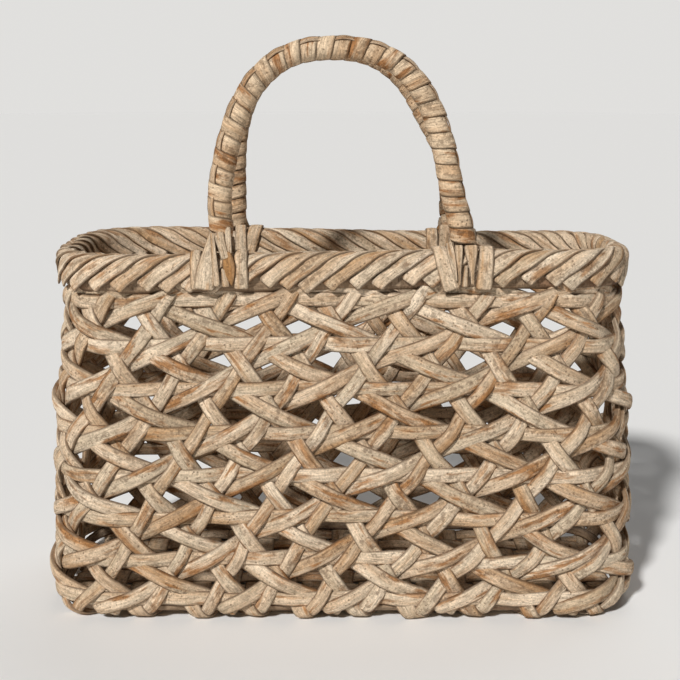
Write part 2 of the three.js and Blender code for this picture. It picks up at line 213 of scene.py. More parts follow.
def lay_strip(bm, points, outward, half_width, half_thick, tilt=0.0, stained=False):
    """Lays one strip of bark with rounded faces along points. Its broad face looks outward."""
    rings = len(points) - 1
    laid_before = len(bm.verts)
    made = bmesh.ops.create_cone(bm, cap_ends=True, segments=STRIP_SIDES, radius1=1, radius2=1,
                                 depth=1)
    edges = dict.fromkeys(edge for vert in made["verts"] for edge in vert.link_edges)
    rails = [edge for edge in edges if abs(edge.verts[0].co.z - edge.verts[1].co.z) > 0.5]
    bmesh.ops.subdivide_edges(bm, edges=rails, cuts=rings - 1)
    verts = list(bm.verts)[laid_before:]
    unit = np.array([vert.co for vert in verts])
    ring = np.rint((unit[:, 2] + 0.5) * rings).astype(int)

    steps = np.diff(points, axis=0)
    distance = np.concatenate([[0], np.cumsum(np.linalg.norm(steps, axis=1))])
    along = np.gradient(points, axis=0)
    along /= np.linalg.norm(along, axis=1)[:, None]
    face = outward - along * (outward * along).sum(1)[:, None]
    face /= np.linalg.norm(face, axis=1)[:, None]
    side = np.cross(face, along)
    tilt = np.broadcast_to(tilt, len(points))[:, None]
    tilted_face = face * np.cos(tilt) + side * np.sin(tilt)
    tilted_side = side * np.cos(tilt) - face * np.sin(tilt)

    from_end = np.minimum(distance, distance[-1] - distance)
    blunt = np.sqrt(np.clip(from_end / END_ROUNDING + END_BLUNTNESS, 0, 1))
    wide = np.broadcast_to(half_width, len(points)) * (END_WIDTH + (1 - END_WIDTH) * blunt)
    thick = np.broadcast_to(half_thick, len(points)) * blunt
    across = np.sign(unit[:, 0]) * np.abs(unit[:, 0]) ** EDGE_SQUARENESS
    lift = np.sign(unit[:, 1]) * np.abs(unit[:, 1]) ** FACE_SQUARENESS
    laid = points[ring] + tilted_side[ring] * (wide[ring] * across)[:, None]
    laid += tilted_face[ring] * (thick[ring] * lift)[:, None]
    layer = bm.verts.layers.float_vector["strip"]
    number = chance.uniform(0, STRIP_NUMBERS) + (STAINED_NUMBER if stained else 0)
    for vert, place, r, a in zip(verts, laid, ring, across):
        vert.co = place
        vert[layer] = (distance[r], a, number)


def bark_piece(bm, name, node, finish, body="basket"):
    """Turns the strips in a bmesh into a piece that stands for a CAD node."""
    mesh = bpy.data.meshes.new(name)
    bm.to_mesh(mesh)
    bm.free()
    mesh.shade_smooth()
    mesh.materials.append(finishes[finish])
    piece = bpy.data.objects.new(name, mesh)
    bpy.context.scene.collection.objects.link(piece)
    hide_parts(node)
    if body:
        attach(piece, body)
    return piece


MAT_HALF_LENGTH, MAT_HALF_DEPTH, MAT_CORNER = 0.1600, 0.0590, 0.044
MAT_HEIGHT, MAT_WAVE = 0.0050, 0.0008
MAT_HALF_THICK = 0.0007
MAT_STRIP_SHARE, MAT_END_ROOM = 0.43, 0.3
MAT_SAMPLES = 120
RUNS_ALONG, RUNS_ACROSS = 7, 19


def mat_reach(offset, half_length, half_depth):
    """Half the length of a mat strip laid at an offset from the middle, inside rounded corners."""
    past = max(0, abs(offset) - (half_depth - MAT_CORNER))
    return half_length - MAT_CORNER + math.sqrt(max(0, MAT_CORNER ** 2 - past ** 2))


def mat_layer(runs, crossings, half_length, half_depth, turn):
    """Parallel strips that pass over and under the strips of the other direction in turn."""
    bm = new_strips()
    step = 2 * half_depth / runs
    crossing_step = 2 * half_length / crossings
    for run in range(runs):
        offset = (run + 0.5) * step - half_depth
        reach = mat_reach(abs(offset) + step * MAT_END_ROOM, half_length, half_depth)
        x = np.linspace(-reach, reach, MAT_SAMPLES)
        phase = (x + half_length) / crossing_step - 0.5 + run + turn
        z = MAT_HEIGHT + MAT_WAVE * np.cos(phase * math.pi)
        y = offset + wander(x, reach=0.0005, length=0.1)
        points = np.stack([y, x, z] if turn else [x, y, z], 1)
        upward = np.tile((0.0, 0.0, 1.0), (len(x), 1))
        lay_strip(bm, points, upward, step * MAT_STRIP_SHARE, MAT_HALF_THICK)
    return bm


along_mat = mat_layer(RUNS_ALONG, RUNS_ACROSS, MAT_HALF_LENGTH, MAT_HALF_DEPTH, 0)
bark_piece(along_mat, "base_mat_along", "base_mat_lengthwise", "pale_bark")
across_mat = mat_layer(RUNS_ACROSS, RUNS_ALONG, MAT_HALF_DEPTH, MAT_HALF_LENGTH, 1)
bark_piece(across_mat, "base_mat_across", "base_mat_crosswise", "ruddy_bark")


# Side strips: long strips of bark that come up from under the base and lean both ways round the
# wall, 24 each way. Each passes over and under the level and the inserted strips.

HALF_WIDTH, HALF_DEPTH, CORNER = 0.158, 0.057, 0.040
WALL_INSET, WALL_TOP = 0.0024, 0.188
FOOT_SPREAD, WALL_FULLNESS = 0.007, 0.0046
DRAWN_IN, DRAWN_IN_FROM, DRAWN_IN_OVER = 0.0062, 0.100, 0.088
BASE_TURN, BASE_ROUND = 0.010, 0.0078
SQUARE_FOOT, SQUARE_FOOT_HEIGHT = 0.0055, 0.120
STRIPS_ROUND = 24
LATTICE_TURN = -0.4
ROW_START, ROW_STEP, ROWS = 0.0140, 0.024, 8
LEVEL = 0.0023
RIGHT_HALF_WIDTH, LEFT_HALF_WIDTH = 0.0041, 0.0046
STRIP_HALF_THICK = 0.0014
STRIP_SAMPLES = 130
STRIP_END_ROW, STRIP_TOP_ROW = -0.99, 7.5
UNDER_BASE_ROWS = (-1.2, -0.9)
FOOT_FLATNESS, FOOT_ROWS = 0.8, 0.8

# How the weave was drawn out of line by hand. Places are distances to the right of the front's
# middle, round the wall.
PULL, PULL_FROM, PULL_OVER = 0.008, -0.025, 0.120
PULL_ENDS_FROM, PULL_ENDS_OVER = 0.150, 0.200
DRIFT_PLACES = (-0.330, -0.200, -0.105, -0.072, -0.041, 0.0, 0.040, 0.080, 0.150, 0.300)
DRIFT_AT_FOOT = (0.0, 0.006, 0.0087, 0.0070, 0.0035, -0.002, -0.008, -0.011, -0.011, 0.0)
DRIFT_FROM_ROW, DRIFT_ROWS = -0.2, 3.2
SAG = 0.0011
DIP, DIP_ROW, DIP_ROWS = 0.0024, 1.1, 0.8
DIP_EASE, DIP_END = 0.080, 0.25
LEVEL_ROW, LEVEL_ROWS = -0.15, 1.25

ends_x = HALF_WIDTH - CORNER
ends_y = HALF_DEPTH - CORNER
arc = CORNER * math.pi / 2
plan_breaks = np.cumsum([0, ends_x, arc, 2 * ends_y, arc, 2 * ends_x, arc, 2 * ends_y, arc, ends_x])
plan_turns = np.radians([-90, -90, 0, 0, 90, 90, 180, 180, 270, 270])
plan_x = ends_x * np.array([0, 1, 1, 1, 1, -1, -1, -1, -1, 0])
plan_y = ends_y * np.array([-1, -1, -1, 1, 1, 1, 1, -1, -1, -1])
round_length = plan_breaks[-1]
strip_step = round_length / STRIPS_ROUND


def round_plan(distance):
    """Middles of the plan's corners and outward directions, a distance round from the front."""
    distance = np.asarray(distance) % round_length
    turn = np.interp(distance, plan_breaks, plan_turns)
    middle = np.stack([np.interp(distance, plan_breaks, plan_x),
                       np.interp(distance, plan_breaks, plan_y), np.zeros_like(distance)], 1)
    return middle, np.stack([np.cos(turn), np.sin(turn), np.zeros_like(distance)], 1)


def right_of_front(distance):
    """Distance to the right of the front's middle, negative on the left."""
    return (distance + round_length / 2) % round_length - round_length / 2


def weave_distance(turn, row):
    """Distance round the wall of a place in the weave. It is drawn to the right on the front's
    right half, and at the foot towards the front's middle."""
    distance = (turn + LATTICE_TURN) * strip_step
    place = right_of_front(distance)
    drawn = PULL * smooth((place - PULL_FROM) / PULL_OVER)
    drawn *= 1 - smooth((place - PULL_ENDS_FROM) / PULL_ENDS_OVER)
    gathered = np.interp(place, DRIFT_PLACES, DRIFT_AT_FOOT)
    gathered = gathered * (1 - smooth((row - DRIFT_FROM_ROW) / DRIFT_ROWS))
    return distance + drawn + gathered


def weave_height(row, distance):
    """Height of a place in the weave. Its rows sag a little towards the ends of the basket, the low
    ones dip on the front's right half, and the lowest stays level."""
    sag = SAG * (1 - np.cos(distance * 2 * math.tau / round_length))
    place = right_of_front(distance)
    dip = DIP * np.exp(-((row - DIP_ROW) / DIP_ROWS) ** 2)
    dip = dip * smooth(place / DIP_EASE) * smooth((DIP_END - place) / DIP_EASE)
    sinking = np.clip((row - LEVEL_ROW) / LEVEL_ROWS, 0, 1)
    return ROW_START + ROW_STEP * row - (sag + dip) * sinking


def wall_spread(z):
    """How far the wall stands out at a height: wider at the base, full, drawn in at the rim."""
    full = FOOT_SPREAD * np.clip(1 - z / WALL_TOP, 0, 1) + WALL_FULLNESS
    return full - DRAWN_IN * smooth((z - DRAWN_IN_FROM) / DRAWN_IN_OVER)


def on_wall(distance, height, level):
    """Points and outward directions on the wall. Heights below the base's turn run on under it."""
    below = np.clip((BASE_TURN - height) / BASE_ROUND, 0, None)
    bend = np.minimum(below, math.pi / 2)
    z = np.where(height > BASE_TURN, height, BASE_TURN - BASE_ROUND * np.sin(bend))
    inset = BASE_ROUND * (1 - np.cos(bend) + below - bend)
    middle, flat = round_plan(distance)
    outward = flat * np.cos(bend)[:, None] - np.array([0, 0, 1]) * np.sin(bend)[:, None]
    at_corner = (2 * flat[:, 0] * flat[:, 1]) ** 2
    filled = SQUARE_FOOT * (1 - smooth(z / SQUARE_FOOT_HEIGHT)) * at_corner
    radius = CORNER - WALL_INSET + wall_spread(z) - inset + filled
    points = middle + flat * radius[:, None] + outward * (LEVEL * level)[:, None]
    points[:, 2] += z
    return points, outward


def passing(position, knots, levels):
    """Level along a strip that passes over and under others: steady at each of them."""
    knots, levels = np.asarray(knots, float), np.asarray(levels, float)
    before = np.clip(np.searchsorted(knots, position) - 1, 0, len(knots) - 2)
    share = (position - knots[before]) / (knots[before + 1] - knots[before])
    return levels[before] + (levels[before + 1] - levels[before]) * smooth(share)


def steep_levels(row, order, rising):
    """Levels of a steep strip where it crosses each hoop and each strip of the other direction."""
    knots, levels = list(UNDER_BASE_ROWS), [0, 0]
    for half in range(-1, 2 * ROWS):
        knots.append(half / 2)
        if half % 2 == 0:
            odd = order % 2 / 2
            levels.append(1 - odd if rising else odd - 1)
        else:
            other = order + (half - 1) // 2 if rising else order - (half - 1) // 2
            leaning_right, leaning_left = (order, other) if rising else (other, order)
            levels.append((-0.5 if rising else 0.5) + leaning_left % 2 / 2 - leaning_right % 2 / 2)
    return passing(row, knots, levels)


def steep_strip(bm, order, rising):
    """One leg of a side strip, from under the base to the rim, leaning right if it is rising."""
    row = np.linspace(STRIP_END_ROW, STRIP_TOP_ROW, STRIP_SAMPLES)
    turn = order + row / 2 if rising else order + 0.5 - row / 2
    distance = weave_distance(turn, row) + wander(row, reach=0.0008, length=3.6)
    level = steep_levels(row, order, rising) + wander(row, reach=0.08, length=2.0)
    level *= 1 - FOOT_FLATNESS * smooth(-row / FOOT_ROWS)
    points, outward = on_wall(distance, weave_height(row, distance), level)
    width = RIGHT_HALF_WIDTH if rising else LEFT_HALF_WIDTH
    width *= chance.uniform(0.93, 1.07) * (1 + wander(row, reach=0.06, length=2.4))
    tilt = wander(row, reach=0.14, length=2.8)
    lay_strip(bm, points, outward, width, STRIP_HALF_THICK, tilt)


bark_finish("grey_bark", pale=(0.84, 0.67, 0.485), tan=(0.48, 0.29, 0.148),
            grey=(0.59, 0.475, 0.33), stain=(0.38, 0.17, 0.055), stain_share=0.9)
for strip in range(STRIPS_ROUND):
    bm = new_strips()
    steep_strip(bm, strip, rising=True)
    steep_strip(bm, strip - 1, rising=False)
    bark_piece(bm, f"side_bark_{strip + 1:02d}", f"side_strip_{strip + 1:02d}",
               "pale_bark" if strip % 3 else "grey_bark")


# Hoops: eight level strips that hold the side strips at even heights. Each goes once round the
# wall and its ends lie over each other at the back.

HOOP_HALF_WIDTH = 0.0043
HOOP_OVERLAP = 0.9
HOOP_END_LEVEL, HOOP_END_EASE = 0.5, 1.6
HOOP_SAMPLES = 400


def hoop_strip(row):
    """One hoop, over the strips that lean left and under those that lean right."""
    start = STRIPS_ROUND / 2 + chance.uniform(-3, 3)
    turn = np.linspace(start, start + STRIPS_ROUND + HOOP_OVERLAP, HOOP_SAMPLES)
    crossings = []
    for order in range(-2 * STRIPS_ROUND, 3 * STRIPS_ROUND):
        crossings.append((order + row / 2, -(order % 2) / 2))
        crossings.append((order + 0.5 - row / 2, order % 2 / 2))
    crossings.sort()
    level = passing(turn, *zip(*crossings)) + wander(turn, reach=0.06, length=5.0)
    level += HOOP_END_LEVEL * np.clip(1 - (turn - turn[0]) / HOOP_END_EASE, 0, 1)
    level -= HOOP_END_LEVEL * np.clip(1 - (turn[-1] - turn) / HOOP_END_EASE, 0, 1)
    distance = weave_distance(turn, row)
    height = weave_height(np.full_like(turn, row), distance)
    height = height + wander(turn, reach=0.0007, length=6.0)
    points, outward = on_wall(distance, height, level)
    width = HOOP_HALF_WIDTH * (1 + wander(turn, reach=0.07, length=5.0))
    tilt = wander(turn, reach=0.12, length=4.0)
    bm = new_strips()
    lay_strip(bm, points, outward, width, STRIP_HALF_THICK, tilt)
    return bm


for row in range(ROWS):
    bark_piece(hoop_strip(row), f"hoop_bark_{row + 1}", f"hoop_{row + 1:02d}", "pale_bark")


# Base hoop: the lowest level strip. It lies inside the side strips where they turn under the base,
# and closes the edge of the mat.

BASE_HOOP_HEIGHT, BASE_HOOP_LEVEL = 0.0052, -1.25
BASE_HOOP_HALF_WIDTH, BASE_HOOP_HALF_THICK = 0.0030, 0.0011
BASE_HOOP_OVERLAP, BASE_HOOP_END_LEVEL = 0.8, 0.3
BASE_HOOP_SAMPLES = 320

turn = np.linspace(STRIPS_ROUND / 2, STRIPS_ROUND * 1.5 + BASE_HOOP_OVERLAP, BASE_HOOP_SAMPLES)
level = BASE_HOOP_LEVEL + BASE_HOOP_END_LEVEL * np.clip(1 - (turn - turn[0]), 0, 1)
level -= BASE_HOOP_END_LEVEL * np.clip(1 - (turn[-1] - turn), 0, 1)
height = BASE_HOOP_HEIGHT + wander(turn, reach=0.0004, length=6.0)
points, outward = on_wall(turn * strip_step, height, level)
bm = new_strips()
lay_strip(bm, points, outward, BASE_HOOP_HALF_WIDTH, BASE_HOOP_HALF_THICK)
bark_finish("dark_bark", pale=(0.44, 0.31, 0.20), tan=(0.27, 0.175, 0.10),
            grey=(0.33, 0.26, 0.19), stain=(0.20, 0.10, 0.05), stain_share=0.7)
bark_piece(bm, "base_hoop_bark", "base_hoop", "dark_bark")


# Inserted strips: twelve shallow strips threaded through the finished openwork. Each climbs halfway
# round the wall, turns inside the rim and comes down the other way.

INSERT_HALF_WIDTH, INSERT_HALF_THICK = 0.0044, 0.0017
INSERT_SLOPE = 1.5
INSERT_PEAK = (STRIPS_ROUND - 0.5) / (2 * INSERT_SLOPE)
INSERT_BEND, INSERT_CHANGE = 0.8, 0.6
INSERT_START_ROW = -0.3
INSERT_LEVEL, INSERT_FAR_LEVEL = 1.0, 1.5
INSERT_SAMPLES = 460


def insert_levels(row, rising):
    """Levels of an inserted strip: over the rows and under between them, or the other way round."""
    knots, levels = [], []
    for half in range(-1, 2 * ROWS):
        knots.append(half / 2)
        at_row = half % 2 == 0
        depth = INSERT_LEVEL if at_row or (half - 1) // 2 % 2 else INSERT_FAR_LEVEL
        levels.append(depth if at_row == rising else -depth)
    return passing(row, knots, levels)


def insert_strip(order):
    """One inserted strip, up to its rounded peak and down again."""
    reach = math.sqrt((INSERT_SLOPE * (INSERT_PEAK - INSERT_START_ROW)) ** 2 - INSERT_BEND ** 2)
    along = np.linspace(-reach, reach, INSERT_SAMPLES)
    row = INSERT_PEAK - np.sqrt(along ** 2 + INSERT_BEND ** 2) / INSERT_SLOPE
    coming_down = 0.5 + 0.5 * np.tanh(along / INSERT_CHANGE)
    level = insert_levels(row, True) * (1 - coming_down) + insert_levels(row, False) * coming_down
    level += wander(along, reach=0.08, length=5.0)
    distance = weave_distance(2 * order + 0.5 + INSERT_SLOPE * INSERT_PEAK + along, row)
    height = weave_height(row, distance) + wander(along, reach=0.0008, length=5.0)
    points, outward = on_wall(distance, height, level)
    width = INSERT_HALF_WIDTH * (1 + wander(along, reach=0.07, length=4.0))
    tilt = wander(along, reach=0.15, length=4.0)
    bm = new_strips()
    lay_strip(bm, points, outward, width, INSERT_HALF_THICK, tilt)
    return bm


for order in range(STRIPS_ROUND // 2):
    bark_piece(insert_strip(order), f"inserted_bark_{order + 1:02d}",
               f"inserted_strip_{order + 1:02d}", "grey_bark")


# Rim core: a stiff band of thick bark that takes the ends of the wall's strips. It goes once round
# inside the plait, which covers it, and its ends lie over each other at the back.

RIM_INSET = 0.0042
RIM_MIDDLE_HEIGHT, RIM_HALF_HEIGHT, RIM_HALF_THICK = 0.1945, 0.0092, 0.0034
RIM_WAVE, RIM_FRONT_LIFT = 0.0013, 0.0011
RIM_CORE_OVERLAP = 0.02
RIM_CORE_SAMPLES = 240


def rim_twist(distance):
    """How far the rim lies above level: it rises and falls twice on its way round, and the front is
    higher than the back."""
    turn = distance * math.tau / round_length
    return RIM_WAVE * np.sin(2 * turn) + RIM_FRONT_LIFT * np.cos(turn)


distance = np.linspace(0.5, 1.5 + RIM_CORE_OVERLAP, RIM_CORE_SAMPLES) * round_length
middle, flat = round_plan(distance)
points = middle + flat * (CORNER - RIM_INSET)
points[:, 2] += RIM_MIDDLE_HEIGHT + rim_twist(distance)
bm = new_strips()
lay_strip(bm, points, flat, RIM_HALF_HEIGHT, RIM_HALF_THICK)
bark_piece(bm, "rim_core_bark", "rim_core", "dark_bark")


# Rim plait: short strips laid slanting up the outside and the inside of the rim. They meet along
# its ridge in a herringbone, each tucked under the next, and their cut tips show below.

PLAIT_STRIPS = 62
PLAIT_HALF_THICK = 0.0010
PLAIT_SAMPLES = 26
OUTSIDE_HALF_WIDTH, INSIDE_HALF_WIDTH = 0.0044, 0.0041
OUTSIDE_REACH, INSIDE_REACH = 0.0204, 0.0195
PAST_RIDGE, RIDGE_WIDTH = 0.0035, 0.66
TUCK, TUCK_FROM, TUCK_OVER = 0.0016, 0.004, 0.008
PLAIT_SETTLING = 0.55
RIM_ROUND, RIM_ROUND_HEIGHT = 0.0054, 0.2008
rim_quarter = RIM_ROUND * math.pi / 2
plait_step = round_length / PLAIT_STRIPS


def on_rim(distance, over, lift):
    """Points and outward directions on the rim. Over is measured from its ridge, outside
    negative."""
    bend = np.clip(over / RIM_ROUND, -math.pi / 2, math.pi / 2)
    drop = np.clip(np.abs(over) - rim_quarter, 0, None)
    middle, flat = round_plan(distance)
    up = np.array([0.0, 0.0, 1.0])
    outward = -flat * np.sin(bend)[:, None] + up * np.cos(bend)[:, None]
    points = middle + flat * (CORNER - RIM_INSET) + outward * (RIM_ROUND + lift)[:, None]
    points[:, 2] += RIM_ROUND_HEIGHT - drop + rim_twist(distance)
    return points, outward


def plait_strip(bm, start, side, reach, slant, end_slant, width, tilt):
    """One strip from just past the ridge down a face of the rim, -1 outside or 1 inside. It starts
    tucked in, at one slant, and takes the other on its way down."""
    past = PAST_RIDGE + chance.uniform(-0.001, 0.001)
    fall = np.linspace(-past, reach, PLAIT_SAMPLES)
    down = np.clip(fall / reach, 0, None)
    tucked = np.clip((TUCK_FROM - fall) / TUCK_OVER, 0, 1)
    lift = -TUCK * tucked ** 2 + wander(fall, reach=0.00015, length=0.03)
    distance = start - slant * fall - (end_slant - slant) * fall * down / 2
    distance = distance + wander(fall, reach=0.0004, length=0.04)
    points, outward = on_rim(distance, fall * side, lift)
    wide = width * (RIDGE_WIDTH + (1 - RIDGE_WIDTH) * smooth(down * 2))
    lay_strip(bm, points, outward, wide, PLAIT_HALF_THICK, tilt * (1 - PLAIT_SETTLING * down))


bm = new_strips()
for strip in range(PLAIT_STRIPS):
    start = (strip + chance.uniform(-0.06, 0.06)) * plait_step
    plait_strip(bm, start, side=-1, reach=OUTSIDE_REACH + chance.uniform(-0.0022, 0.0016),
                slant=2.4, end_slant=0.75,
                width=OUTSIDE_HALF_WIDTH * chance.uniform(0.9, 1.1), tilt=-0.30)
    plait_strip(bm, start + plait_step / 2, side=1,
                reach=INSIDE_REACH + chance.uniform(-0.0015, 0.0015), slant=2.2, end_slant=2.0,
                width=INSIDE_HALF_WIDTH * chance.uniform(0.92, 1.08), tilt=0.34)
bark_piece(bm, "rim_plait_bark", "rim_plait", "pale_bark")


# Handles: each is a bundle of bark bent into an arch, its core, with a narrow strip along the outer
# side, and one long strip wound round both that passes over and under the narrow one in turn.

PIVOT_HEIGHT, HANDLE_SETBACK = 0.2142, 0.0528
ARCH_TOP = 0.3138
CORE_RADIUS, CORE_END = 0.0046, 0.0060
LEG_RADIUS, TOP_RADIUS = 0.0059, 0.0052
CORE_SAMPLES = 130
WRAP_HALF_WIDTH, WRAP_HALF_THICK = 0.0046, 0.00055
WRAP_RISE, WRAP_SINK = 0.00085, 0.0005
WRAP_NEAR, WRAP_NEAR_EASE = 1.25, 0.75
WRAP_SAMPLES = 820
WRAP_TILT = 0.07
EDGE_HALF_WIDTH, EDGE_HALF_THICK = 0.0026, 0.0004
EDGE_RISE, EDGE_SINK = 0.0011, 0.0006
EDGE_SHARES, EDGE_DEGREES = (0, 0.5, 0.75, 0.88, 1), (46, 25, 10, -15, -15)
EDGE_RUN_ON = 0.004
EDGE_SAMPLES = 420
ARCH_FULLNESS = 0.833
ARCH_SAMPLES = 500
BULGE_TOP = 0.65
WRAP_COUNTS = np.arange(-1, 35)
angles = np.linspace(math.pi, 0, ARCH_SAMPLES)
arch_out = np.sign(np.cos(angles)) * np.abs(np.cos(angles)) ** ARCH_FULLNESS
arch_up = np.clip(np.sin(angles), 0, 1) ** ARCH_FULLNESS


class Arch:
    """Middle line of one handle, from its left foot to its right one, and how it is wound."""

    def __init__(self, facing, half_span, shift, lean, lean_by, narrowing, bulge,
                 wraps, wrap_shift, wrap_start, wrap_stop, run_on):
        self.facing = facing
        self.wraps, self.wrap_shift = wraps, wrap_shift
        self.wrap_start, self.wrap_stop, self.run_on = wrap_start, wrap_stop, run_on
        self.feet = (shift - half_span, shift + half_span)
        narrow = 1 - narrowing * np.sin(np.pi * arch_up)
        x = shift + half_span * arch_out * narrow + lean * smooth(arch_up / lean_by)
        bulging = np.sin(np.pi * np.clip(arch_up / BULGE_TOP, 0, 1)) ** 2
        x += np.where(arch_out > 0, bulge * bulging, 0)
        z = PIVOT_HEIGHT + (ARCH_TOP - PIVOT_HEIGHT) * arch_up
        length = np.concatenate([[0], np.cumsum(np.hypot(np.diff(x), np.diff(z)))])
        self.span = length[-1]
        self.length = np.concatenate([[-CORE_END], length, [self.span + CORE_END]])
        self.x = np.concatenate([x[:1], x, x[-1:]])
        self.z = np.concatenate([z[:1] - CORE_END, z, z[-1:] - CORE_END])

    def around(self, share, turn, radius):
        """Points and directions round the arch. Zero turn is its outer side, a quarter its face."""
        place = share * self.span
        x, z = np.interp(place, self.length, self.x), np.interp(place, self.length, self.z)
        run_x = np.interp(place, self.length, np.gradient(self.x, self.length))
        run_z = np.interp(place, self.length, np.gradient(self.z, self.length))
        run = np.hypot(run_x, run_z)
        rise = np.stack([-run_z / run, np.zeros_like(x), run_x / run], 1)
        face = np.array([0.0, self.facing, 0.0])
        outward = rise * np.cos(turn)[:, None] + face * np.sin(turn)[:, None]
        middle = np.stack([x, np.full_like(x, self.facing * HANDLE_SETBACK), z], 1)
        return middle + outward * np.broadcast_to(radius, len(x))[:, None], outward


arches = {
    "front": Arch(facing=-1, half_span=0.0645, shift=-0.0004, lean=-0.0032, lean_by=0.3,
                  narrowing=0.048, bulge=0.0, wraps=31.3, wrap_shift=0.195,
                  wrap_start=0.0302, wrap_stop=0.9889, run_on=0.45),
    "back": Arch(facing=1, half_span=0.0660, shift=0.0004, lean=-0.0066, lean_by=0.8,
                 narrowing=0.018, bulge=0.0034, wraps=31.6, wrap_shift=0.545,
                 wrap_start=-0.0065, wrap_stop=1.0065, run_on=0.15),
}


def wrap_radius(share):
    """Radius of the winding, which is thicker along the legs than at the top of the arch."""
    return LEG_RADIUS - (LEG_RADIUS - TOP_RADIUS) * np.sin(np.pi * share) ** 2


def edge_turn(share):
    """Where the narrow strip lies: on the face's side of the outer edge at the left foot, less so
    along the arch, and past the edge at the right foot."""
    return np.radians(np.interp(share, EDGE_SHARES, EDGE_DEGREES))


def wrap_count(arch, share, turn):
    """Which turn of the winding passes a place on the handle."""
    return share * arch.wraps - arch.wrap_shift + turn / math.tau


def handle_core(arch):
    share = np.linspace(-CORE_END, arch.span + CORE_END, CORE_SAMPLES) / arch.span
    points, outward = arch.around(share, np.zeros_like(share), 0.0)
    bm = new_strips()
    lay_strip(bm, points, outward, CORE_RADIUS, CORE_RADIUS)
    return bm


def handle_edge(arch):
    """The narrow strip, raised where it passes over every second turn of the winding."""
    share = np.linspace(arch.wrap_start - EDGE_RUN_ON, arch.wrap_stop + EDGE_RUN_ON, EDGE_SAMPLES)
    turn = edge_turn(share)
    over = passing(wrap_count(arch, share, turn), WRAP_COUNTS, (WRAP_COUNTS + 1) % 2)
    radius = wrap_radius(share) - EDGE_SINK + EDGE_RISE * over
    points, outward = arch.around(share, turn, radius)
    bm = new_strips()
    lay_strip(bm, points, outward, EDGE_HALF_WIDTH, EDGE_HALF_THICK)
    return bm


def handle_wrap(arch):
    """The long wound strip, raised or sunk by turns where it crosses the narrow one."""
    first = arch.wrap_start * arch.wraps - arch.run_on
    last = arch.wrap_stop * arch.wraps + arch.run_on
    count = np.linspace(first, last, WRAP_SAMPLES)
    turn = -math.tau * (count - arch.wrap_shift)
    share = count / arch.wraps
    beside = np.abs((turn - edge_turn(share) + math.pi) % math.tau - math.pi)
    near = smooth(WRAP_NEAR - beside / WRAP_NEAR_EASE)
    passes_over = np.round(wrap_count(arch, share, edge_turn(share))).astype(int) % 2
    radius = wrap_radius(share) + near * (WRAP_RISE * passes_over - WRAP_SINK)
    radius = radius + wander(count, reach=0.00012, length=2.0)
    points, outward = arch.around(share, turn, radius)
    bm = new_strips()
    lay_strip(bm, points, outward, WRAP_HALF_WIDTH, WRAP_HALF_THICK, WRAP_TILT)
    return bm


bark_finish("wound_bark", pale=(0.85, 0.65, 0.44), tan=(0.52, 0.30, 0.145),
            grey=(0.60, 0.46, 0.31), stain=(0.36, 0.155, 0.05), stain_share=0.95)
for place, arch in arches.items():
    body = f"handle_{place}"
    bark_piece(handle_core(arch), f"{place}_core_bark", f"{place}_handle_core", "dark_bark", body)
    bark_piece(handle_edge(arch), f"{place}_edge_bark", f"{place}_handle_edge_strip", "grey_bark",
               body)
    bark_piece(handle_wrap(arch), f"{place}_wrap_bark", f"{place}_handle_wrap", "wound_bark", body)


# Lashings: where a handle stands on the rim, strips from its foot spread down over the rim's faces
# and broad saddles go over the rim beside it.

LASHING_HALF_THICK = 0.0009
SADDLE_INSIDE_REACH, SADDLE_RIDGE_WIDTH = 0.0185, 0.86
SADDLE_LIFT, SADDLE_TIP_DROP, SADDLE_TIP = 0.0018, 0.0007, 0.0045
SADDLE_SAMPLES, TONGUE_SAMPLES = 60, 40
TONGUE_SPREADING = 1.3
EVERY_SECOND_RAISED, STAINED_RAISED = 0.0005, 0.0003
FAN_OUT_HEIGHTS = np.array([0.186, 0.190, 0.197, 0.203, 0.207, 0.2105, 0.2145, 0.2205])
FAN_OUT = np.array([0.0072, 0.0078, 0.0082, 0.0080, 0.0073, 0.0065, 0.0058, 0.0048])

# Each tongue of a fan: sideways places of its top and tip, their half widths, how much broader it
# is in the middle, heights of top and tip. Each saddle: sideways places at the ridge and at the tip,
# half width, reach down the rim's outside.
WIDE_FAN = (
    (-0.0049, -0.0086, 0.0011, 0.0057, 0.0, 0.2190, 0.1885),
    (-0.0039, -0.0016, 0.0012, 0.0018, 0.0, 0.2185, 0.1905),
    (0.0022, 0.0030, 0.0018, 0.0021, 0.0, 0.2000, 0.1900),
    (-0.0008, 0.0030, 0.0030, 0.0024, 0.0, 0.2190, 0.2050),
    (0.0042, 0.0048, 0.0018, 0.0019, 0.0, 0.2215, 0.2075),
)
STAINED_TONGUE = (0.0038, 0.0062, 0.0016, 0.0004, 0.0027, 0.2090, 0.1908)
WIDE_SADDLES = ((-0.0133, -0.0125, 0.0035, 0.0204), (0.0109, 0.0109, 0.0043, 0.0206))
NARROW_FAN = (
    (-0.0078, -0.0034, 0.0018, 0.0006, 0.0010, 0.2135, 0.1930),
    (-0.0026, -0.0019, 0.0023, 0.0006, 0.0003, 0.2122, 0.1910),
    (0.0014, 0.0010, 0.0010, 0.0016, 0.0, 0.2015, 0.1900),
    (0.0038, 0.0050, 0.0038, 0.0009, 0.0004, 0.2122, 0.1915),
)
NARROW_SADDLES = ((-0.0130, -0.0056, 0.0050, 0.0232), (0.0126, 0.0112, 0.0047, 0.0230))
INSIDE_TONGUE = (0.0034, 0.0036, 0.0036, 0.0038, 0.0, 0.2150, 0.1905)
HIGHEST_OUTSIDE = {"front": 0.2215, "back": 0.2125}
HIGHEST_INSIDE = {"front": 0.2150, "back": 0.2096}


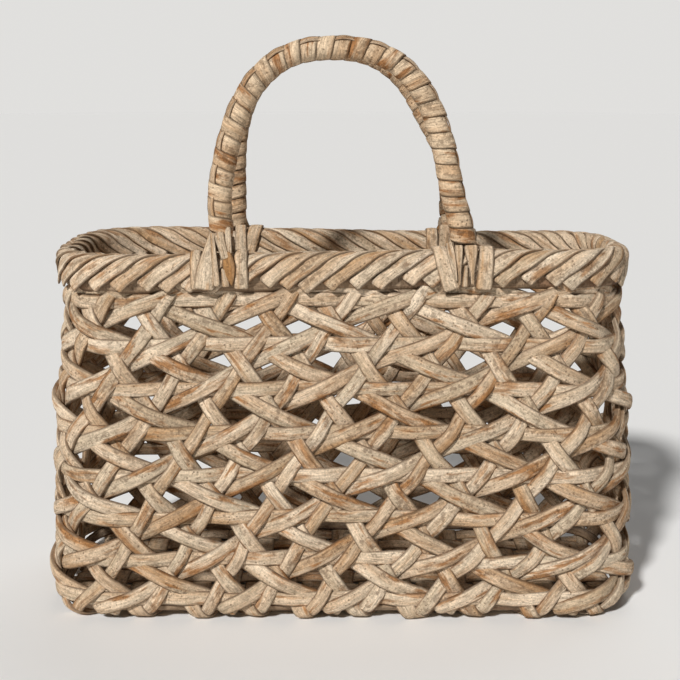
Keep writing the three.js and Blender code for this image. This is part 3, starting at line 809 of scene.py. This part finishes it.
def lay_saddle(bm, arch, foot, at_ridge, at_tip, half_width, reach):
    """One broad strip over the rim beside a handle's foot, pressed down at its tip."""
    over = np.linspace(-reach, SADDLE_INSIDE_REACH, SADDLE_SAMPLES)
    down = np.clip(np.abs(over) / reach, 0, 1)
    x = foot - arch.facing * (at_ridge + (at_tip - at_ridge) * down)
    pressed = smooth((np.abs(over) - reach + SADDLE_TIP) / SADDLE_TIP)
    distance = x if arch.facing < 0 else round_length / 2 - x
    points, outward = on_rim(distance, over, SADDLE_LIFT - SADDLE_TIP_DROP * pressed)
    width = half_width * (SADDLE_RIDGE_WIDTH + (1 - SADDLE_RIDGE_WIDTH) * down)
    lay_strip(bm, points, outward, width, LASHING_HALF_THICK)


def lay_tongue(bm, arch, foot, highest, face, raised, tongue, stained=False):
    """One strip from a handle's foot down the rim. Face is -1 on the rim's outside, 1 on its
    inside."""
    at_top, at_tip, top_width, tip_width, belly, top, tip = tongue
    top = min(top, highest)
    z = np.linspace(top, tip, TONGUE_SAMPLES)
    down = (top - z) / (top - tip)
    x = foot - arch.facing * (at_top + (at_tip - at_top) * down)
    out = np.interp(z, FAN_OUT_HEIGHTS, FAN_OUT) + raised
    y = arch.facing * (HANDLE_SETBACK - face * out)
    outward = np.tile((0.0, float(-arch.facing * face), 0.0), (len(z), 1))
    width = top_width + (tip_width - top_width) * smooth(down * TONGUE_SPREADING)
    width = width + belly * np.sin(np.pi * down)
    points = np.stack([x, y, z], 1)
    lay_strip(bm, points, outward, width, LASHING_HALF_THICK, stained=stained)


def lashing(place, end, arch, foot):
    """The strips that bind one foot of a handle. The front's right foot has a narrow fan."""
    wide = (end == "left") == (place == "front")
    narrow_fan = place == "front" and end == "right"
    highest = HIGHEST_OUTSIDE[place]
    bm = new_strips()
    for saddle in WIDE_SADDLES if wide else NARROW_SADDLES:
        lay_saddle(bm, arch, foot, *saddle)
    for order, tongue in enumerate(NARROW_FAN if narrow_fan else WIDE_FAN):
        raised = EVERY_SECOND_RAISED * (order % 2)
        lay_tongue(bm, arch, foot, highest, face=-1, raised=raised, tongue=tongue)
    if not narrow_fan:
        lay_tongue(bm, arch, foot, highest, face=-1, raised=STAINED_RAISED,
                   tongue=STAINED_TONGUE, stained=True)
    to_middle = arch.facing * math.copysign(1, foot)
    at_top, at_tip, *widths_and_heights = INSIDE_TONGUE
    inside = (at_top * to_middle, at_tip * to_middle, *widths_and_heights)
    lay_tongue(bm, arch, foot, HIGHEST_INSIDE[place], face=1, raised=0.0, tongue=inside)
    return bm


for place, arch in arches.items():
    for end, foot in zip(("left", "right"), arch.feet):
        piece = bark_piece(lashing(place, end, arch, foot), f"{place}_{end}_lashing_bark",
                           f"{place}_{end}_lashing", "ruddy_bark", body=None)
        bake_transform(piece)


# Setting: a plain pale floor under soft studio light, with the main lamp high on the left in front
# and a wide one behind. The background is as pale as the floor.

FLOOR_RADIUS = 8.0
bm = bmesh.new()
bmesh.ops.create_circle(bm, cap_ends=True, segments=64, radius=FLOOR_RADIUS)
mesh = bpy.data.meshes.new("floor")
bm.to_mesh(mesh)
bm.free()
floor = bpy.data.objects.new("floor", mesh)
bpy.context.scene.collection.objects.link(floor)
floor_paint = bpy.data.materials.new("floor paint")
floor_paint.use_nodes = True
shader = floor_paint.node_tree.nodes["Principled BSDF"]
shader.inputs["Base Color"].default_value = (0.86, 0.85, 0.83, 1)
shader.inputs["Roughness"].default_value = 1.0
shader.inputs["Specular IOR Level"].default_value = 0.0
mesh.materials.append(floor_paint)

world = bpy.data.worlds.new("studio")
world.use_nodes = True
nodes, links = world.node_tree.nodes, world.node_tree.links
room = nodes["Background"]
room.inputs["Color"].default_value = (0.96, 0.98, 1.0, 1)
room.inputs["Strength"].default_value = 0.07
backdrop = nodes.new("ShaderNodeBackground")
backdrop.inputs["Color"].default_value = (0.749, 0.741, 0.725, 1)
path = nodes.new("ShaderNodeLightPath")
seen = path.outputs["Is Camera Ray"]
for ray in ("Is Glossy Ray", "Is Transmission Ray"):
    either = nodes.new("ShaderNodeMath")
    either.operation = "MAXIMUM"
    links.new(seen, either.inputs[0])
    links.new(path.outputs[ray], either.inputs[1])
    seen = either.outputs[0]
mixed = nodes.new("ShaderNodeMixShader")
links.new(seen, mixed.inputs[0])
links.new(room.outputs[0], mixed.inputs[1])
links.new(backdrop.outputs[0], mixed.inputs[2])
links.new(mixed.outputs[0], nodes["World Output"].inputs["Surface"])
bpy.context.scene.world = world


def lamp(name, azimuth, elevation, strength, softness):
    """A far lamp that shines from an azimuth left of the front and an elevation, in degrees."""
    light = bpy.data.lights.new(name, "SUN")
    light.energy, light.angle = strength, math.radians(softness)
    holder = bpy.data.objects.new(name, light)
    holder.rotation_euler = (math.radians(90 - elevation), 0, -math.radians(azimuth))
    bpy.context.scene.collection.objects.link(holder)


lamp("main lamp", azimuth=26, elevation=38, strength=3.3, softness=6)
lamp("back lamp", azimuth=205, elevation=50, strength=0.6, softness=50)

LOOKS_DOWN = 12.70
camera = bpy.data.cameras.new("camera")
camera.lens, camera.sensor_width = 63.8, 36
viewer = bpy.data.objects.new("camera", camera)
viewer.location = (-0.0013, -0.6917, 0.3033)
viewer.rotation_euler = (math.radians(90 - LOOKS_DOWN), 0, 0)
bpy.context.scene.collection.objects.link(viewer)
bpy.context.scene.camera = viewer
bpy.context.scene.view_settings.view_transform = "Standard"
